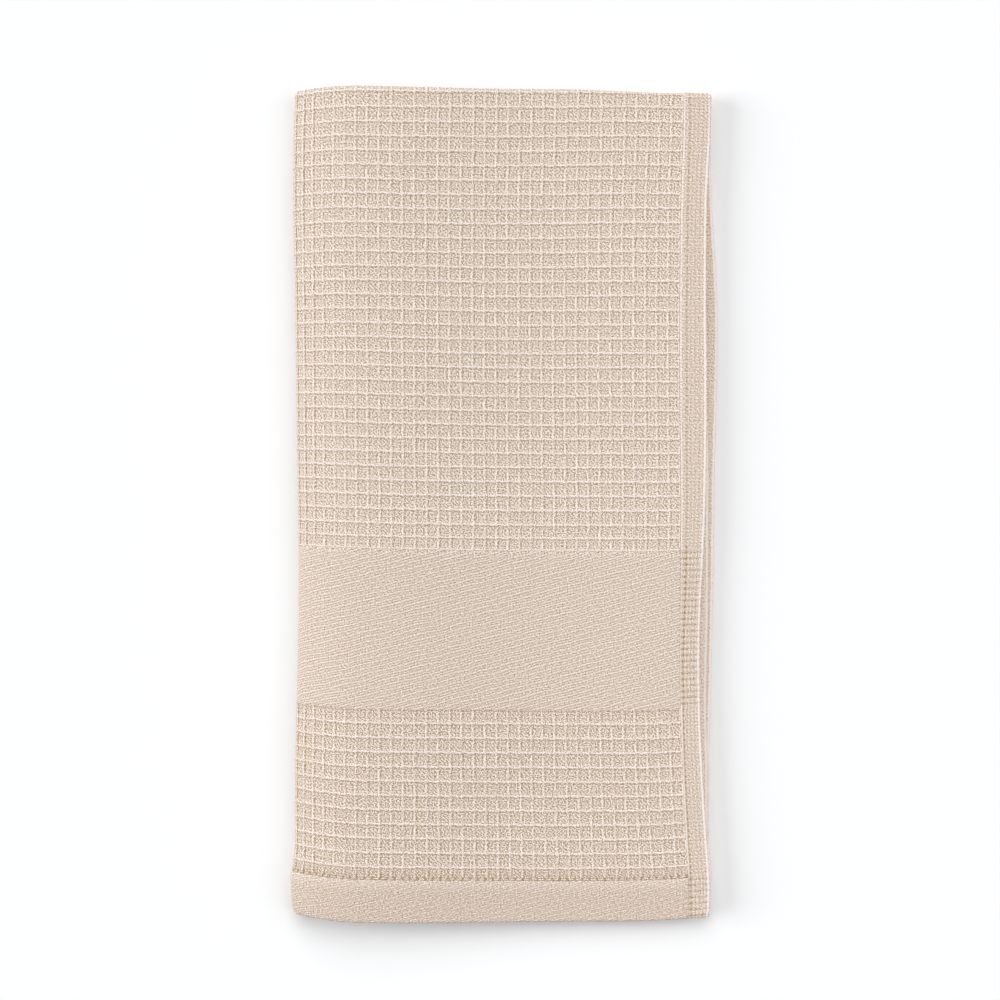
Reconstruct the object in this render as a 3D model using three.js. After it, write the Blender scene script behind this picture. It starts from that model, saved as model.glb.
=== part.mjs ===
// A waffle-weave hand towel folded in quarters and lying flat.
// It is one cloth: its side hems and end hems are turned over and sewn, and a smooth woven
// band crosses each end. It is first folded end to end, then side to side.
// Units are millimetres. +Z is up, X runs across the folded towel and Y along it.
// The origin is on the surface that it lies on, under the middle of its outline.

import * as THREE from "three";

// Thickness of the cloth, and the air between its layers
const clothThickness = 2.4;
const airInPair = 1.0;
const airBetweenPairs = 1.2;

// The end-to-end fold makes a pair of layers, and the side-to-side fold lays one pair on the other.
// Each height is that of a pair's middle.
const layerFromMiddle = (clothThickness + airInPair) / 2;
const faceFromMiddle = layerFromMiddle + clothThickness / 2;
const lowerPairHeight = faceFromMiddle;
const upperPairHeight = lowerPairHeight + 2 * faceFromMiddle + airBetweenPairs;

// The side-to-side fold is a soft roll: widths of its under side and its crown, and how far the
// air inside it reaches across the towel
const rollUnderWidth = 8;
const rollUnderRise = 5.6;
const rollCrownWidth = 37;
const rollAirReach = 85;

// The outline along the towel. roll is the X of the rolled fold and crown the height of the roll.
// first to fourth are the X of the side hem's edge on each layer, from the top one down.
const sides = [
  { along: -251, roll: -124.8, crown: 22.5, first: 121.8, second: 121.0, third: 121.2, fourth: 120.0 },
  { along: -241, roll: -127.8, crown: 23.2, first: 123.0, second: 121.8, third: 123.0, fourth: 121.8 },
  { along: -226, roll: -128.6, crown: 23.8, first: 123.0, second: 122.2, third: 125.2, fourth: 123.4 },
  { along: -202, roll: -126.6, crown: 24.4, first: 120.8, second: 122.0, third: 123.8, fourth: 122.8 },
  { along: -158, roll: -126.4, crown: 24.9, first: 118.4, second: 121.2, third: 123.0, fourth: 124.0 },
  { along: -112, roll: -125.4, crown: 24.6, first: 116.5, second: 121.6, third: 123.6, fourth: 125.2 },
  { along: -68, roll: -124.5, crown: 24.2, first: 117.3, second: 122.2, third: 124.0, fourth: 126.0 },
  { along: -14, roll: -124.5, crown: 24.6, first: 119.5, second: 122.2, third: 124.8, fourth: 126.6 },
  { along: 26, roll: -125.2, crown: 25.2, first: 120.1, second: 122.0, third: 125.6, fourth: 127.4 },
  { along: 74, roll: -125.8, crown: 25.6, first: 120.6, second: 120.8, third: 126.6, fourth: 128.6 },
  { along: 122, roll: -126.5, crown: 25.4, first: 120.3, second: 119.2, third: 125.8, fourth: 127.8 },
  { along: 182, roll: -127.7, crown: 24.8, first: 121.0, second: 119.6, third: 124.0, fourth: 126.0 },
  { along: 222, roll: -127.3, crown: 24.2, first: 122.6, second: 121.6, third: 122.8, fourth: 124.8 },
  { along: 250, roll: -126.4, crown: 23.2, first: 123.6, second: 123.6, third: 123.8, fourth: 124.0 },
];

// The outline across the towel. upper and lower are the Y of each pair's folded end.
// first to fourth are the Y of the end hem's edge on each layer, from the top one down.
const ends = [
  { across: -128, upper: 249.1, lower: 249.1, first: -246.1, second: -245.5, third: -245.5, fourth: -246.1 },
  { across: -116, upper: 249.7, lower: 249.3, first: -247.9, second: -246.3, third: -245.9, fourth: -246.5 },
  { across: -96, upper: 250.5, lower: 249.5, first: -249.3, second: -247.7, third: -246.5, fourth: -246.9 },
  { across: -60, upper: 250.1, lower: 249.7, first: -250.1, second: -248.5, third: -247.1, fourth: -247.9 },
  { across: -10, upper: 249.7, lower: 250.4, first: -250.5, second: -248.9, third: -247.5, fourth: -248.7 },
  { across: 40, upper: 249.9, lower: 250.5, first: -250.5, second: -248.7, third: -248.1, fourth: -249.1 },
  { across: 85, upper: 248.1, lower: 247.9, first: -250.3, second: -248.3, third: -247.9, fourth: -248.7 },
  { across: 112, upper: 247.5, lower: 248.1, first: -248.7, second: -247.3, third: -246.9, fourth: -247.5 },
  { across: 129, upper: 246.9, lower: 247.1, first: -247.3, second: -246.5, third: -245.7, fourth: -246.3 },
];

// Lines across the cloth, by their distance from an end hem's edge. rise and under are how far
// the outer and the inner face stand off the waffle's level there.
const endHemDepth = 25.6;
const bandFrom = 128;
const bandTo = 224;
const clothFolded = 500;
const rowLines = [
  { from: 0, rise: -0.7, under: -0.6 },
  { from: 1.4, rise: 0.1, under: 0 },
  { from: 12, rise: 0.3, under: 0 },
  { from: endHemDepth - 2, rise: 0.1, under: 0 },
  { from: endHemDepth, rise: -0.8, under: 0 },
  { from: endHemDepth + 2, rise: 0, under: 0 },
  { from: 54, rise: 0, under: 0 },
  { from: 80, rise: 0, under: 0 },
  { from: 106, rise: 0, under: 0 },
  { from: bandFrom - 1, rise: 0, under: 0 },
  { from: bandFrom + 1, rise: -0.5, under: 0 },
  { from: 160, rise: -0.5, under: 0 },
  { from: 192, rise: -0.5, under: 0 },
  { from: bandTo - 1, rise: -0.5, under: 0 },
  { from: bandTo + 1, rise: 0, under: 0 },
  { from: 262, rise: 0, under: 0 },
  { from: 300, rise: 0, under: 0 },
  { from: 338, rise: 0, under: 0 },
  { from: 378, rise: 0, under: 0 },
  { from: 418, rise: 0, under: 0 },
  { from: 456, rise: 0, under: 0 },
  { from: 482, rise: 0, under: 0 },
];

// Lines along the cloth, by their distance from a side hem's edge
const sideHemDepth = 13.2;
const levelFrom = sideHemDepth + 1.6;
const columnLines = [
  { from: 0, rise: -0.6, under: -0.5 },
  { from: 1.3, rise: 0.1, under: 0 },
  { from: sideHemDepth / 2, rise: 0.2, under: 0 },
  { from: sideHemDepth - 1.2, rise: 0.1, under: 0 },
  { from: sideHemDepth, rise: -0.6, under: 0 },
  { from: levelFrom, rise: 0, under: 0 },
];

// A face never sinks further than this, where two dips cross
const deepestDip = -1.1;

// How many steps each stretch of the surface is drawn in
const levelSteps = 6;
const rollUnderSteps = 5;
const rollCrownSteps = 8;
const foldedEndSteps = 8;

const quarterTurn = Math.PI / 2;

const { lerp: mix, clamp } = THREE.MathUtils;
const smooth = (t) => t * t * (3 - 2 * t);

// A column of a table at any place, on a smooth curve through its rows
function readTable(table, place, at, column) {
  const last = table.length - 2;
  let k = 0;
  while (k < last && at > table[k + 1][place]) {
    k += 1;
  }
  const slope = (m) => {
    const a = table[Math.max(m - 1, 0)];
    const b = table[Math.min(m + 1, table.length - 1)];
    return (b[column] - a[column]) / (b[place] - a[place]);
  };
  const width = table[k + 1][place] - table[k][place];
  const t = clamp((at - table[k][place]) / width, 0, 1);
  const start = table[k][column];
  const end = table[k + 1][column];
  const bend = slope(k) * (1 - t) ** 2 * t - slope(k + 1) * (1 - t) * t ** 2;
  return mix(start, end, smooth(t)) + bend * width;
}

// Stops along the way of the cloth round the roll, from the fourth layer's side hem to the first
// layer's. at is a distance from the hem's edge, a share of the level stretch between hem and
// roll, or an angle of a quarter turn. upper is 0 on the lower pair and 1 on the upper one.
function stopsAcross() {
  const plain = { rise: 0, under: 0 };
  const shares = (count) => Array.from({ length: count }, (_, k) => (k + 1) / count);
  const level = shares(levelSteps).slice(0, -1);
  const hem = (stretch, upper) => columnLines.map((line) => ({ ...line, stretch, upper, at: line.from }));
  return [
    ...hem("lowerHem", 0),
    ...level.map((share) => ({ ...plain, stretch: "lower", upper: 0, at: share })),
    ...[0, ...shares(rollUnderSteps)].map((share) => {
      return { ...plain, stretch: "rollUnder", upper: 0, at: share * quarterTurn };
    }),
    ...shares(rollCrownSteps).map((share) => {
      return { ...plain, stretch: "rollCrown", upper: smooth(share), at: share * quarterTurn };
    }),
    ...level.map((share) => ({ ...plain, stretch: "upper", upper: 1, at: share })),
    ...hem("upperHem", 1).reverse(),
  ];
}

// The upper pair's middle falls from the roll's crest to its height at the free side, as a bell
// curve does
function upperMiddle(x, crestX, crest) {
  return mix(upperPairHeight, crest, Math.exp(-(((x - crestX) / rollAirReach) ** 2)));
}

// A place on a pair's middle in the X-Z plane, with the direction out of the fold
function placeOut(x, z, outX, outZ) {
  const out = new THREE.Vector2(outX, outZ).normalize();
  return { x, z, outX: out.x, outZ: out.y };
}

// The middle of the pair at a stop. inner is 0 on the outer layers, which are the first and the
// fourth, and 1 on the inner ones, which are the second and the third.
function pairMiddle(stop, y, inner) {
  const edge = (outerLayer, innerLayer) =>
    mix(readTable(sides, "along", y, outerLayer), readTable(sides, "along", y, innerLayer), inner);
  const rollX = readTable(sides, "along", y, "roll") + faceFromMiddle;
  const crest = readTable(sides, "along", y, "crown") - faceFromMiddle;
  const crestX = rollX + rollCrownWidth;
  const turnHeight = lowerPairHeight + rollUnderRise;
  const sin = Math.sin(stop.at);
  const cos = Math.cos(stop.at);
  if (stop.stretch === "lowerHem") {
    return placeOut(edge("fourth", "third") - stop.at, lowerPairHeight, 0, -1);
  }
  if (stop.stretch === "lower") {
    const x = mix(edge("fourth", "third") - levelFrom, rollX + rollUnderWidth, stop.at);
    return placeOut(x, lowerPairHeight, 0, -1);
  }
  if (stop.stretch === "rollUnder") {
    const x = rollX + rollUnderWidth * (1 - sin);
    return placeOut(x, turnHeight - rollUnderRise * cos, -rollUnderRise * sin, -rollUnderWidth * cos);
  }
  if (stop.stretch === "rollCrown") {
    const rise = crest - turnHeight;
    const x = rollX + rollCrownWidth * (1 - cos);
    return placeOut(x, turnHeight + rise * sin, -rise * cos, rollCrownWidth * sin);
  }
  const hemX = edge("first", "second");
  const x = stop.stretch === "upper" ? mix(crestX, hemX - levelFrom, stop.at) : hemX - stop.at;
  const step = 0.5;
  const climb = upperMiddle(x + step, crestX, crest) - upperMiddle(x - step, crestX, crest);
  return placeOut(x, upperMiddle(x, crestX, crest), -climb, 2 * step);
}

// The rows round the end-to-end fold, from the outer layers' end hem up to the folded end and
// back down to the inner layers' end hem. at is a distance from the hem's edge or, round the
// fold, an angle.
function rowsAlong() {
  const arc = Array.from({ length: foldedEndSteps + 1 }, (_, k) => k / foldedEndSteps);
  return [
    ...rowLines.map((line) => ({ ...line, part: "outer", inner: 0, at: line.from })),
    ...arc.map((share) => {
      return { part: "fold", inner: smooth(share), at: share * Math.PI, rise: 0, under: 0 };
    }),
    ...rowLines.map((line) => ({ ...line, part: "inner", inner: 1, at: line.from })).reverse(),
  ];
}

// How far a face stands off the cloth's even thickness. face is 1 on the outer face and -1 on the
// inner one. The outer face that the towel lies on is level.
function standOff(stop, row, face) {
  if (face < 0) {
    return Math.max(stop.under + row.under, deepestDip);
  }
  const rise = Math.max(stop.rise + row.rise, deepestDip);
  return row.part === "inner" ? rise : rise * stop.upper;
}

// A row's place in the section along the towel: its Y, and how far it is out from the pair's middle
function sectionPoint(stop, row, face, x) {
  const end = (upperColumn, lowerColumn) =>
    mix(readTable(ends, "across", x, lowerColumn), readTable(ends, "across", x, upperColumn), stop.upper);
  const foldStart = end("upper", "lower") - faceFromMiddle;
  const out = layerFromMiddle + face * (clothThickness / 2 + standOff(stop, row, face));
  if (row.part === "fold") {
    return { y: foldStart + out * Math.sin(row.at), out: out * Math.cos(row.at) };
  }
  const edge = row.part === "outer" ? end("first", "fourth") : end("second", "third");
  const y = mix(edge, foldStart, row.at / (clothFolded - faceFromMiddle));
  return { y, out: row.part === "outer" ? out : -out };
}

// A point of the folded cloth: the section along the towel, carried round the roll
function clothPoint(stop, row, face) {
  const nearby = pairMiddle(stop, 0, row.inner);
  const { y, out } = sectionPoint(stop, row, face, nearby.x);
  const middle = pairMiddle(stop, y, row.inner);
  return [middle.x + out * middle.outX, y, middle.z + out * middle.outZ];
}

// One closed surface: the outer face, the inner face and the four edges that join them
function foldedCloth() {
  const stops = stopsAcross();
  const rows = rowsAlong();
  const positions = [];
  for (const face of [1, -1]) {
    for (const row of rows) {
      for (const stop of stops) {
        positions.push(...clothPoint(stop, row, face));
      }
    }
  }
  const across = stops.length;
  const along = rows.length;
  const outerFace = (i, j) => j * across + i;
  const innerFace = (i, j) => across * along + j * across + i;
  const triangles = [];
  const quad = (a, b, c, d) => triangles.push(a, c, b, a, d, c);
  for (let j = 0; j < along - 1; j += 1) {
    for (let i = 0; i < across - 1; i += 1) {
      quad(outerFace(i, j), outerFace(i, j + 1), outerFace(i + 1, j + 1), outerFace(i + 1, j));
      quad(innerFace(i, j), innerFace(i + 1, j), innerFace(i + 1, j + 1), innerFace(i, j + 1));
    }
  }
  const lastI = across - 1;
  const lastJ = along - 1;
  for (let j = 0; j < lastJ; j += 1) {
    quad(outerFace(0, j), innerFace(0, j), innerFace(0, j + 1), outerFace(0, j + 1));
    quad(outerFace(lastI, j), outerFace(lastI, j + 1), innerFace(lastI, j + 1), innerFace(lastI, j));
  }
  for (let i = 0; i < lastI; i += 1) {
    quad(outerFace(i, 0), outerFace(i + 1, 0), innerFace(i + 1, 0), innerFace(i, 0));
    quad(outerFace(i, lastJ), innerFace(i, lastJ), innerFace(i + 1, lastJ), outerFace(i + 1, lastJ));
  }
  const geometry = new THREE.BufferGeometry();
  geometry.setAttribute("position", new THREE.Float32BufferAttribute(positions, 3));
  geometry.setIndex(triangles);
  geometry.computeVertexNormals();
  return geometry;
}

const cotton = new THREE.MeshStandardMaterial({ color: 0xdac9bb, roughness: 0.95, metalness: 0 });
const towel = new THREE.Mesh(foldedCloth(), cotton);
towel.name = "towel";

const handTowel = new THREE.Group();
handTowel.add(towel);

export default handTowel;
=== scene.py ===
"""A waffle-weave hand towel folded in quarters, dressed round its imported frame.

The cloth is described by its own lines. A station says how far round the side-to-side fold a line
along the cloth is, and a row says how far along the cloth, over its end-to-end fold, a line across
it is. One function folds any station and row to its place. Each part of the weave has its own
lines, relief and finish on top of that, and is a closed slab of cloth.
Sizes are in millimetres here, and the meshes are in metres.
"""

import math

import bpy
import numpy as np
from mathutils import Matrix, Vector


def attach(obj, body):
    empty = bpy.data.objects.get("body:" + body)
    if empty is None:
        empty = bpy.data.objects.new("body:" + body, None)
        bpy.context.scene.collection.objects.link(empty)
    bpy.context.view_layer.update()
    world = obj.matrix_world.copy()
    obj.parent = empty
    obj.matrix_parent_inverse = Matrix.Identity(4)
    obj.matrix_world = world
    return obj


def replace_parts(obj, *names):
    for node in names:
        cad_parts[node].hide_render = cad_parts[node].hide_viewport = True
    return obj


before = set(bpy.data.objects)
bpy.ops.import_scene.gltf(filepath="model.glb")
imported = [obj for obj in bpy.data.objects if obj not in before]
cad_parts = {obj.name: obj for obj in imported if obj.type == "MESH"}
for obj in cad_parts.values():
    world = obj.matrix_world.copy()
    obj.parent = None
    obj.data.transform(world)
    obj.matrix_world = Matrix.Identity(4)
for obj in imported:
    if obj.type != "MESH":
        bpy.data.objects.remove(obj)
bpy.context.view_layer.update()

bl_info = {
    "name": "Folded waffle hand towel",
    "version": (1, 0, 0),
    "blender": (4, 5, 0),
    "location": "3D View > Sidebar > Hand towel",
    "description": "Makes a folded waffle-weave hand towel and its studio stage",
    "category": "Object",
}

MM = 0.001
CAD_NODE = "towel"
WEAVE_MAP = "weave"
BAKE_MAP = "OFBake"

# Thickness of the cloth, and the air between its layers
CLOTH_THICKNESS = 2.4
AIR_IN_PAIR = 1.0
AIR_BETWEEN_PAIRS = 1.2

# The end-to-end fold makes a pair of layers, and the side-to-side fold lays one pair on the other.
# Each height is that of a pair's middle.
LAYER_FROM_MIDDLE = (CLOTH_THICKNESS + AIR_IN_PAIR) / 2
FACE_FROM_MIDDLE = LAYER_FROM_MIDDLE + CLOTH_THICKNESS / 2
LOWER_PAIR_HEIGHT = FACE_FROM_MIDDLE
UPPER_PAIR_HEIGHT = LOWER_PAIR_HEIGHT + 2 * FACE_FROM_MIDDLE + AIR_BETWEEN_PAIRS

# The side-to-side fold is a soft roll: the width and the rise of its under side, the width of its
# crown, and how far the air inside it reaches across the towel
ROLL_UNDER_WIDTH = 8
ROLL_UNDER_RISE = 5.6
ROLL_CROWN_WIDTH = 37
ROLL_AIR_REACH = 85

# The outline along the towel. roll is the X of the rolled fold and crown the height of the roll.
# first to fourth are the X of the side hem's edge on each layer, from the top one down.
SIDE_COLUMNS = ("along", "roll", "crown", "first", "second", "third", "fourth")
SIDE_ROWS = (
    (-251, -124.8, 22.5, 122.5, 121.0, 121.2, 120.0),
    (-241, -127.8, 23.2, 123.7, 121.8, 123.0, 121.8),
    (-226, -128.6, 23.8, 123.8, 122.2, 125.2, 123.4),
    (-202, -126.6, 24.4, 122.1, 122.8, 123.8, 122.8),
    (-158, -126.4, 24.9, 119.4, 122.7, 124.0, 124.0),
    (-112, -125.4, 24.6, 117.8, 122.0, 125.0, 125.2),
    (-68, -124.5, 24.2, 118.1, 123.0, 126.0, 126.0),
    (-14, -124.5, 24.6, 120.8, 123.3, 126.8, 126.8),
    (26, -125.2, 25.2, 121.8, 123.4, 127.4, 127.4),
    (74, -125.8, 25.6, 122.1, 121.9, 128.6, 128.6),
    (122, -126.5, 25.4, 121.7, 119.2, 128.8, 128.8),
    (182, -127.7, 24.8, 122.2, 119.6, 125.6, 125.6),
    (222, -127.3, 24.2, 124.2, 121.6, 124.6, 124.8),
    (250, -126.4, 23.2, 124.8, 123.8, 124.4, 124.4),
)

# The outline across the towel. upper and lower are the Y of each pair's folded end. first to
# fourth are the Y of the end hem's edge on each layer, from the top one down.
END_COLUMNS = ("across", "upper", "lower", "first", "second", "third", "fourth")
END_ROWS = (
    (-128, 249.1, 249.1, -246.1, -245.5, -245.5, -246.1),
    (-116, 249.7, 249.3, -247.9, -246.3, -245.9, -246.5),
    (-96, 250.5, 249.5, -249.3, -247.7, -246.5, -246.9),
    (-60, 250.1, 249.7, -250.1, -248.5, -247.1, -247.9),
    (-10, 249.7, 250.4, -250.5, -248.9, -247.5, -248.7),
    (40, 249.9, 250.5, -250.5, -248.7, -248.1, -249.1),
    (85, 248.1, 247.9, -250.3, -248.3, -247.9, -248.7),
    (112, 247.5, 248.1, -248.7, -247.3, -246.9, -247.5),
    (129, 246.9, 247.1, -247.3, -246.5, -245.7, -246.3),
)

# How deep the top layer's side hem is along the towel, and how far from its edge it is stitched
HEM_COLUMNS = ("along", "depth", "stitched")
HEM_ROWS = (
    (-250, 12.0, 10.9),
    (-234, 13.0, 12.0),
    (-213, 12.8, 11.4),
    (-190, 12.6, 11.1),
    (-165, 12.3, 10.8),
    (-141, 12.0, 10.6),
    (-117, 12.0, 10.3),
    (-99, 12.2, 10.5),
    (-75, 12.2, 10.1),
    (-51, 13.0, 10.0),
    (-21, 14.5, 11.0),
    (0, 15.1, 11.2),
    (30, 16.0, 11.9),
    (74, 16.7, 12.1),
    (122, 16.3, 11.7),
    (182, 16.1, 11.4),
    (208, 16.5, 12.0),
    (250, 17.2, 12.8),
)

# How far towards the end hem the top layer's weave lies off an even spread, by the distance from
# the hem's edge. The columns are places across the towel, from its roll to its side hem.
DRIFT_PLACES = (-117, -62, -14, 34, 82)
DRIFT_COLUMNS = ("row", "roll", "left", "middle", "right", "hem")
DRIFT_ROWS = (
    (0, 0, 0, 0, 0, 0),
    (34, -1.4, -1.0, -0.2, 1.0, 0.6),
    (84, -0.9, -0.4, 0.4, 1.2, 1.2),
    (126, -0.2, 0.0, 0.2, 1.2, 1.0),
    (226, 0.0, 0.5, 1.1, 1.7, 1.1),
    (265, 0.0, 0.8, 1.0, 1.6, 0.8),
    (300, 0.6, 1.3, 1.6, 2.1, 0.8),
    (334, 1.1, 1.6, 1.9, 2.3, 0.5),
    (368, 2.1, 2.2, 2.6, 2.5, 0.5),
    (403, 2.5, 2.5, 2.4, 2.1, -0.3),
    (438, 2.1, 2.5, 1.9, 1.6, -1.0),
    (472, 2.2, 2.5, 1.8, 1.3, -1.1),
    (490, 2.5, 2.0, 1.0, 0.9, -1.3),
    (507, 0, 0, 0, 0, 0),
)

# The lengthwise lines near the roll are straighter than it: where the roll would be if straight,
# the share of its bends that they leave out, and over how many cells that ends under it
ROLL_STRAIGHT = -126.0
ROLL_HOLD = 0.72
ROLL_HOLD_ENDS = 4

# Lines across the cloth, by their distance from an end hem's edge
END_HEM_DEPTH = 25.6
BAND_FROM = 128
BAND_TO = 224

# The folded towel's length, where the cloth starts to turn over the end-to-end fold, how long its
# outer face is round it, and the cloth's whole length
FOLDED_LENGTH = 500
FOLD_START = FOLDED_LENGTH - FACE_FROM_MIDDLE
FOLD_ARC = math.pi * FACE_FROM_MIDDLE
CLOTH_LENGTH = 2 * FOLD_START + FOLD_ARC

# How far in from its edge a side hem's stretch reaches, which is how deep the hidden hems are
LEVEL_FROM = 14.8
# Where a side hem's stitches and its inner side are in the weave's map
STITCH_PLACE = 11.0
LIP_PLACE = LEVEL_FROM

# Where each stretch round the side-to-side fold starts, as a station. A side hem's edge is at
# station 0 on the lower pair and at station 6 on the upper one.
LOWER_HEM, LOWER, ROLL_UNDER, ROLL_CROWN, UPPER, UPPER_HEM, STATIONS_END = range(7)

# How far the floor reaches on each side of the towel's middle, in metres
FLOOR_REACH = 3.0
# The point of the towel's flat top that is in the middle of the picture
PICTURE_MIDDLE = (-2.4, 2.6, 12.0)
# The directions that the lights come from, and how wide they are in the sky
OVERHEAD_FROM = (0.7, 0.05, 0.72)
OVERHEAD_SPREAD = math.radians(55)
KEY_FROM = (-0.08, 0.65, 0.8)
KEY_SPREAD = math.radians(50)
SIDE_FROM = (-0.87, 0.05, 0.46)
SIDE_SPREAD = math.radians(36)

# The edge of a hem is rounded over this width, up to this share of it, so that the outer and the
# inner face stay apart
EDGE_ROUNDING = 1.0
EDGE_ROUNDED = 0.97

# Size of a cell that the relief and the finish are drawn in
CELL_ACROSS = 7.0
CELL_ALONG = 8.63
# The number of the first row of cells over an end hem, in the weave's map. The first above the
# band is 0.
FIRST_ROW_BELOW = -20
# The column of cells from which the roll turns down, and over how many it does. Over them the
# waffle's finish paints the light and shade of the turn.
ROLLED_FROM = 30.4
ROLLED_OVER = 4.0
# Spots of the plain weave on a cell's floor: how far apart down it, and how many across it
SPOT_SPACING = 2.466
SPOTS_ACROSS = 3

# The relief, in millimetres: how high the floor of a cell lies, how high ribs stand on it, and
# their half widths
CELL_FLOOR = -0.26
CROSS_RIB_HEIGHT = 0.33
CROSS_RIB_WIDTH = 0.52
LONG_RIB_HEIGHT = 0.2
LONG_RIB_WIDTH = 0.48
# The highest relief. The face that lies on the floor is drawn in by it.
RELIEF_TOP = 0.45
# Spacing of the satin's rows of strokes on the band and on an end hem, and how they slant
BAND_ROW_PITCH = 1.58
HEM_ROW_PITCH = 1.4
SATIN_SLANT = math.tan(math.radians(15))
# Spacing of a side hem's crosswise ribs, and of an end hem's stitches
HEM_RIB_PITCH = 3.66
STITCH_SPACING = 4.4
# A side hem's ribs start and end over this length
RIBS_EASED = 4
# Where the painted highlight on the side hem's edge grows weaker, from the end hem's edge, and over
# what length
EDGE_WEAKER_FROM = 461.7
EDGE_WEAKER_OVER = 16.7
# How far a finish's bump reaches from its lowest to its highest place
BUMP_DEPTH = 0.2

# Places of the mesh's lines within a waffle cell, across and along it, as shares of it. They are
# close at the ribs.
FINE = (
    (0, 0.06, 0.125, 0.21, 0.5, 0.79, 0.875, 0.94),
    (0, 0.05, 0.105, 0.175, 0.38, 0.62, 0.825, 0.895, 0.95),
)
PLAIN = ((0, 0.12, 0.5, 0.88), (0, 0.1, 0.5, 0.9))
HIDDEN = ((0, 0.5), (0, 0.5))
# Steps of the mesh over the band and over an end hem, fine and plain
FINE_BAND_STEPS = 192
FINE_HEM_STEPS = 48
PLAIN_STEPS = 24
# A side hem's step along it, in millimetres, and its number of steps across it: where it shows,
# where it is turned under, and on the lower layers
SHOWN_HEM_STEPS = (0.6, 28)
TURNED_HEM_STEPS = (3.0, 12)
LOWER_HEM_STEPS = (2.0, 12)
# Away from the cells, the inner face has one step for this many of the outer face's
INNER_STEP = 4


def mix(start, end, share):
    """start + (end - start) * share"""
    return start + (end - start) * share


def smooth(share):
    """3 share² - 2 share³, which eases in and out"""
    return share * share * (3 - 2 * share)


def table(columns, rows):
    """A table's columns by name, as arrays"""
    return dict(zip(columns, np.array(rows, float).T))


SIDES = table(SIDE_COLUMNS, SIDE_ROWS)
ENDS = table(END_COLUMNS, END_ROWS)
HEM_DEPTHS = table(HEM_COLUMNS, HEM_ROWS)
DRIFTS = table(DRIFT_COLUMNS, DRIFT_ROWS)


def read_table(rows, place, at, column):
    """A column of a table at any place, on a smooth curve through its rows.

    With t the share of the way from one row to the next, it is the eased mix of the two values,
    plus width * (slope * (1 - t)² t - next slope * (1 - t) t²). A row's slope is that of the
    straight line between its two neighbours.
    """
    places, values = rows[place], rows[column]
    last = len(places) - 1
    before = np.maximum(np.arange(last + 1) - 1, 0)
    after = np.minimum(np.arange(last + 1) + 1, last)
    slopes = (values[after] - values[before]) / (places[after] - places[before])
    k = np.clip(np.searchsorted(places, at) - 1, 0, last - 1)
    width = places[k + 1] - places[k]
    t = np.clip((at - places[k]) / width, 0, 1)
    bend = slopes[k] * (1 - t) ** 2 * t - slopes[k + 1] * (1 - t) * t**2
    return mix(values[k], values[k + 1], smooth(t)) + bend * width


def side(column, y):
    """A column of the outline along the towel, at Y"""
    return read_table(SIDES, "along", y, column)


def end(column, x):
    """A column of the outline across the towel, at X"""
    return read_table(ENDS, "across", x, column)


def uneven(u, v, seed):
    """Smooth uneven values from -1 to 1: a random number at each whole u and v, eased between
    its four neighbours."""
    u, v = np.broadcast_arrays(u, v)
    low_u, low_v = math.floor(u.min()), math.floor(v.min())
    size = (math.floor(v.max()) - low_v + 2, math.floor(u.max()) - low_u + 2)
    field = np.random.default_rng(seed).uniform(-1, 1, size)
    i = np.floor(u).astype(int) - low_u
    j = np.floor(v).astype(int) - low_v
    across, up = smooth(u - np.floor(u)), smooth(v - np.floor(v))
    lower = mix(field[j, i], field[j, i + 1], across)
    upper = mix(field[j + 1, i], field[j + 1, i + 1], across)
    return mix(lower, upper, up)


def bump(distance, width):
    """A bell: exp(-(distance / width)²)"""
    return np.exp(-((distance / width) ** 2))


def upper_share(station):
    """0 on the lower pair and under the roll, 1 on the upper pair, and eased over the crown"""
    return smooth(np.clip(station - ROLL_CROWN, 0, 1))


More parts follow.
